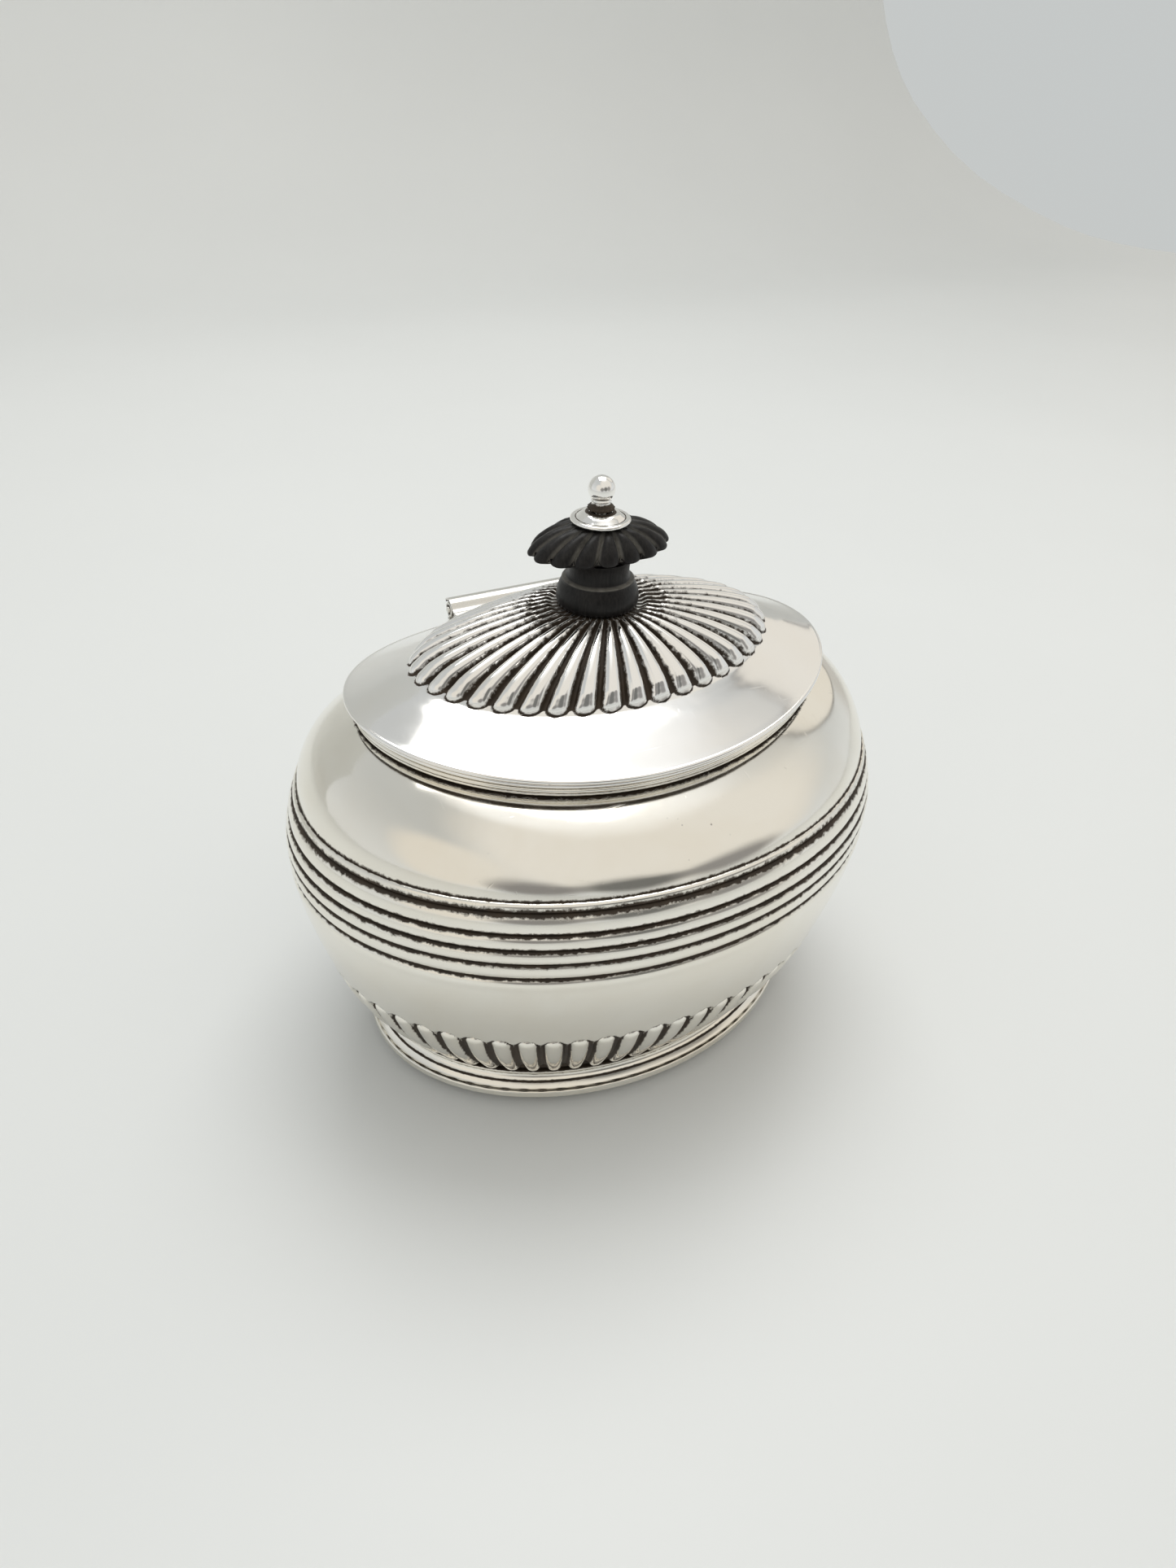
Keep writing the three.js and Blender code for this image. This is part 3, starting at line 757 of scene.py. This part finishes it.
def build_finial_cap():
    """Oval ebony cap, fluted like an umbrella."""
    levels = join_lines(
        smooth_line([(FINIAL_BORE, 91.4), (5.6, 91.4)], 1.0),
        smooth_line([(5.6, 91.4), (8.4, 91.55), (10.6, 91.95), (11.7, 92.2)], 0.4),
        smooth_line([
            (11.7, 92.2), (12.1, 92.35), (12.2, 92.7), (11.9, 93.3), (11.2, 94.1), (9.8, 95.0), (7.8, 95.9),
            (5.6, 96.4), (4.3, 96.6),
        ], 0.22),
        smooth_line([(4.3, 96.6), (FINIAL_BORE, 96.6)], 1.0),
        smooth_line([(FINIAL_BORE, 96.6), (FINIAL_BORE, 91.4)], 2.0),
    )[:-1]
    a, z = levels[:, 0], levels[:, 1]
    b = np.interp(a, [FINIAL_BORE, 4.3, 12.2], [FINIAL_BORE, 4.1, 7.8])
    count = CAP_LOBES * CAP_LOBE_STATIONS
    stations = even_parameters(count)
    phase = (np.arange(count) * CAP_LOBES / count)[None, :]
    pitch = (perimeter(a, b) / CAP_LOBES)[:, None]
    across = np.abs(phase - np.floor(phase) - 0.5) * pitch
    half_width = pitch / 2 - 0.1
    share = np.clip(across / half_width, 0, 1)
    ramp = np.clip((a - 4.3) / 3.0, 0, 1)[:, None] * (z > 91.45)[:, None]
    rise = ramp * FLUTE_DEPTH * (np.sqrt(1 - share ** 2) - 1)
    grid = level_grid(a, b, z, stations, rise, normals_of(levels))
    # Painted highlight: pale stripes along the edges of the flutes.
    painted_highlight = ramp * np.clip(1.2 - (pitch / 2 - across) / 0.42, 0, 1) * (z > 92.2)[:, None]
    cap = loft("finial_fluted_cap", grid, True, {"painted_highlight": painted_highlight}, 50.0)
    finish_piece(cap, ebony, "ebony", "lid", "finial_cap")


def build_finial_disc():
    """Domed silver disc on the cap."""
    profile = join_lines(
        smooth_line([(FINIAL_BORE, 96.8), (4.5, 96.8)], 0.8),
        smooth_line([(4.5, 96.8), (4.75, 96.9), (4.85, 97.15), (4.75, 97.4), (4.5, 97.52)], 0.12),
        smooth_line([(4.5, 97.52), (4.1, 97.5), (3.95, 97.46)], 0.15),
        smooth_line([(3.95, 97.46), (3.6, 97.7), (3.1, 98.05), (2.6, 98.25), (2.1, 98.35)], 0.15),
        smooth_line([(2.1, 98.35), (FINIAL_BORE, 98.4)], 0.4),
        smooth_line([(FINIAL_BORE, 98.4), (FINIAL_BORE, 96.8)], 1.0),
    )[:-1]
    under_ball = np.clip(1.2 - np.abs(profile[:, 0] - 2.2) / 0.35, 0, 1) * (profile[:, 1] > 98.2)
    oxide_and_shade = np.maximum(0.75 * groove_mask(profile, [(3.97, 97.46)], 0.12), under_ball)
    disc = turned_piece("finial_disc", profile, {"oxide_and_shade": oxide_and_shade})
    finish_piece(disc, finial_silver, "finial_silver", "lid", "finial_washer")


def build_finial_ball():
    """Ball nut on a knurled collar, with a blind hole for the stud."""
    profile = join_lines(
        smooth_line([(FINIAL_BORE, 98.7), (1.9, 98.7)], 0.3),
        smooth_line([(1.9, 98.7), (2.15, 98.8), (2.2, 99.05), (2.05, 99.3)], 0.1),
        smooth_line([(2.05, 99.3), (1.7, 99.5), (1.5, 99.7), (1.45, 99.95)], 0.12),
        smooth_line([(1.45, 99.95), (1.62, 100.15), (1.5, 100.35)], 0.1),
        arc_line((0, BALL_Z), BALL_RADIUS, -45, 89, 36),
        [(0.04, BALL_Z + BALL_RADIUS), (0.04, BALL_Z), (FINIAL_BORE, BALL_Z)],
    )
    r, z = profile[:, 0], profile[:, 1]
    angles = even_angles(ROUND_STATIONS)
    on_collar = np.clip(1 - np.abs(z - 99.05) / 0.3, 0, 1) * (r > 1.9)
    knurl = on_collar[:, None] * 0.14 * np.cos(16 * angles)[None, :]
    knurl = knurl - 0.1 * (knurl != 0)
    grid = turned_grid(profile)
    grid[:, :, 0] += knurl * np.cos(angles)[None, :]
    grid[:, :, 1] += knurl * np.sin(angles)[None, :]
    masks = spread_masks({"oxide_and_shade": np.clip(1.3 - np.abs(z - 99.1) / 0.75, 0, 1)}, ROUND_STATIONS)
    ball = loft("finial_ball_nut", grid, True, masks, 40.0)
    finish_piece(ball, finial_silver, "finial_silver", "lid", "finial_ball")


def build_finial_stud():
    """Stud with a 0.5 mm thread cut into it from end to end."""
    stations = 24
    heights = np.arange(78.15, 101.55, 0.09)
    angles = even_angles(stations)
    turn = (heights[:, None] / 0.5 - angles[None, :] / (2 * math.pi)) % 1.0
    radius = 0.82 + 0.18 * np.abs(2 * turn - 1)
    radius[0] = radius[-1] = 0.7
    z = np.repeat(heights[:, None], stations, axis=1)
    grid = np.stack([radius * np.cos(angles), radius * np.sin(angles), z], axis=-1)
    stud = loft("finial_stud", grid, False, {"oxide_and_shade": np.full(grid.shape[:2], 0.35)}, 60.0)
    finish_piece(stud, finial_silver, "finial_silver", "lid", "finial_rod")


def build_finial_fixing():
    """Washer and hexagonal nut inside the lid."""
    profile = join_lines(
        smooth_line([(FINIAL_BORE, 80.4), (4.3, 80.4)], 0.8),
        arc_line((4.3, 80.6), 0.2, -90, 90, 7),
        smooth_line([(4.3, 80.8), (FINIAL_BORE, 81.1)], 0.8),
        smooth_line([(FINIAL_BORE, 81.1), (FINIAL_BORE, 80.4)], 0.5),
    )[:-1]
    washer = turned_piece("finial_washer_inside", profile, {"oxide_and_shade": np.zeros(len(profile))})
    finish_piece(washer, finial_silver, "finial_silver", "lid", "finial_inner_washer")

    angles = even_angles(ROUND_STATIONS)
    across = math.cos(math.pi / 6) / np.cos((angles % (math.pi / 3)) - math.pi / 6)
    rows = [
        (FINIAL_BORE, 78.5), (2.45, 78.5), (2.95, 78.75), (2.95, 79.9), (2.5, 80.1), (FINIAL_BORE, 80.1),
    ]
    loops = []
    for radius, z in rows:
        reach = radius * across if radius > FINIAL_BORE else radius
        loops.append(np.column_stack([
            reach * np.cos(angles), reach * np.sin(angles), np.full(ROUND_STATIONS, z),
        ]))
    grid = np.array(loops)
    nut = loft("finial_nut_inside", grid, True, {"oxide_and_shade": np.zeros(grid.shape[:2])}, 30.0)
    finish_piece(nut, finial_silver, "finial_silver", "lid", "finial_nut")


build_bowl()
build_foot()
build_mouth_wire()
build_lid()
build_lid_edge()
build_hinge()
build_finial_base()
build_finial_cap()
build_finial_disc()
build_finial_ball()
build_finial_stud()
build_finial_fixing()


# ---------------------------------------------------------------- stage, light and camera

def build_floor():
    """One sheet: table, a soft rise at the back, and a wall."""
    line = smooth_line([
        (-900.0, 0.0), (500.0, 0.0), (760.0, 12.0), (900.0, 120.0), (960.0, 400.0), (980.0, 1200.0),
    ], 30.0)
    widths = np.linspace(-1300.0, 1300.0, 24)
    vertices = [(x, y, z) for y, z in line for x in widths]
    n = len(widths)
    faces = [
        (r * n + c, r * n + c + 1, (r + 1) * n + c + 1, (r + 1) * n + c)
        for r in range(len(line) - 1) for c in range(n - 1)
    ]
    floor = mesh_object("floor", vertices, faces, None, 80.0)
    material, graph, shader = new_material("floor_paper")
    cloud = graph.noise(graph.add("ShaderNodeTexCoord").outputs["Object"], 6.0, 3.0)
    colour = graph.mix(cloud, (0.79, 0.81, 0.808), (0.83, 0.85, 0.848))
    graph.feed(shader.inputs["Base Color"], colour)
    shader.inputs["Roughness"].default_value = 0.45
    floor.data.materials.append(material)


def build_backdrop():
    """Plain pale ring round the table, so that every view has a background; it lights nothing."""
    turns = even_angles(72)
    rows = (-60.0, 400.0, 900.0, 1500.0)
    vertices = [
        (BACKDROP_RADIUS * math.cos(t), BACKDROP_RADIUS * math.sin(t), z) for z in rows for t in turns
    ]
    faces = [face[::-1] for face in grid_faces(len(rows), len(turns), False)]
    ring = mesh_object("backdrop", vertices, faces, None, 80.0)
    material, _, shader = new_material("backdrop_paper")
    shader.inputs["Base Color"].default_value = (0.0, 0.0, 0.0, 1.0)
    shader.inputs["Specular IOR Level"].default_value = 0.0
    shader.inputs["Roughness"].default_value = 0.9
    shader.inputs["Emission Color"].default_value = (0.56, 0.58, 0.575, 1.0)
    shader.inputs["Emission Strength"].default_value = 1.0
    ring.data.materials.append(material)
    ring.visible_diffuse = False
    ring.visible_glossy = False
    ring.visible_transmission = False
    ring.visible_shadow = False


def build_softbox():
    """Large soft lamp above and a little behind the box."""
    data = bpy.data.lights.new("top_softbox", "AREA")
    data.size = 0.50
    data.energy = 2.1
    data.color = (1.0, 0.995, 0.985)
    lamp = bpy.data.objects.new("top_softbox", data)
    lamp.location = (0.14, 0.24, 0.75)
    to_box = Vector((0.0, 0.0, 0.05)) - lamp.location
    lamp.rotation_euler = to_box.to_track_quat("-Z", "Y").to_euler()
    bpy.context.scene.collection.objects.link(lamp)


def direction_blob(graph, direction, heading, inner, outer):
    """1 within `inner` degrees of a heading, 0 beyond `outer` degrees."""
    dot = graph.add("ShaderNodeVectorMath", operation="DOT_PRODUCT")
    graph.links.new(direction, dot.inputs[0])
    dot.inputs[1].default_value = Vector(heading).normalized()
    soft = graph.add("ShaderNodeMapRange", {
        "From Min": math.cos(math.radians(outer)), "From Max": math.cos(math.radians(inner)),
    }, interpolation_type="SMOOTHSTEP")
    graph.links.new(dot.outputs["Value"], soft.inputs["Value"])
    return soft.outputs["Result"]


# Soft shapes that the silver reflects: heading, inner and outer radius in degrees, and colour.
STUDIO_SHAPES = (
    ((0.80, 0.58, 0.02), 14.0, 26.0, (0.72, 0.71, 0.68)),
    ((0.30, -0.66, 0.72), 34.0, 56.0, (1.02, 0.985, 0.915)),
    ((-0.75, -0.55, 0.40), 16.0, 30.0, (1.00, 0.96, 0.88)),
    ((0.76, 0.40, 0.52), 20.0, 21.5, (0.30, 0.29, 0.28)),
    ((0.76, 0.40, 0.52), 18.5, 20.0, (1.02, 0.98, 0.90)),
    ((0.21, 0.08, 0.96), 10.0, 24.0, (1.32, 1.32, 1.30)),
    ((0.10, -0.95, 0.24), 9.0, 21.0, (0.22, 0.22, 0.21)),
    ((-0.40, -0.88, 0.20), 8.0, 20.0, (0.32, 0.31, 0.30)),
    ((0.55, -0.80, 0.20), 8.0, 20.0, (0.36, 0.35, 0.34)),
)


def build_studio_light():
    """White tent: bright overhead panel, cream sides, and the grey shapes of a person in front."""
    world = bpy.data.worlds.new("studio")
    world.use_nodes = True
    graph = Graph(world.node_tree)
    direction = graph.add("ShaderNodeTexCoord").outputs["Generated"]
    split = graph.add("ShaderNodeSeparateXYZ")
    graph.links.new(direction, split.inputs["Vector"])
    high = graph.remap(split.outputs["Z"], 0.05, 0.8)
    colour = graph.mix(high, (0.90, 0.92, 0.92), (0.70, 0.72, 0.722))
    for heading, inner, outer, tint in STUDIO_SHAPES:
        colour = graph.mix(direction_blob(graph, direction, heading, inner, outer), colour, tint)
    background = graph.nodes["Background"]
    graph.feed(background.inputs["Color"], colour)
    background.inputs["Strength"].default_value = 0.80
    bpy.context.scene.world = world


build_floor()
build_backdrop()
build_softbox()
build_studio_light()
bpy.context.scene.view_settings.view_transform = "Standard"

# The photograph's viewpoint, fitted to the reeds, rims, foot and finial.
camera_data = bpy.data.cameras.new("camera")
camera_data.sensor_width = 36.0
camera_data.lens = 23.51
camera_data.clip_start = 0.01
camera = bpy.data.objects.new("camera", camera_data)
camera.location = (-0.07507, -0.13612, 0.15759)
camera.rotation_euler = Euler([math.radians(v) for v in (54.172, -1.942, -27.393)])
bpy.context.scene.collection.objects.link(camera)
bpy.context.scene.camera = camera
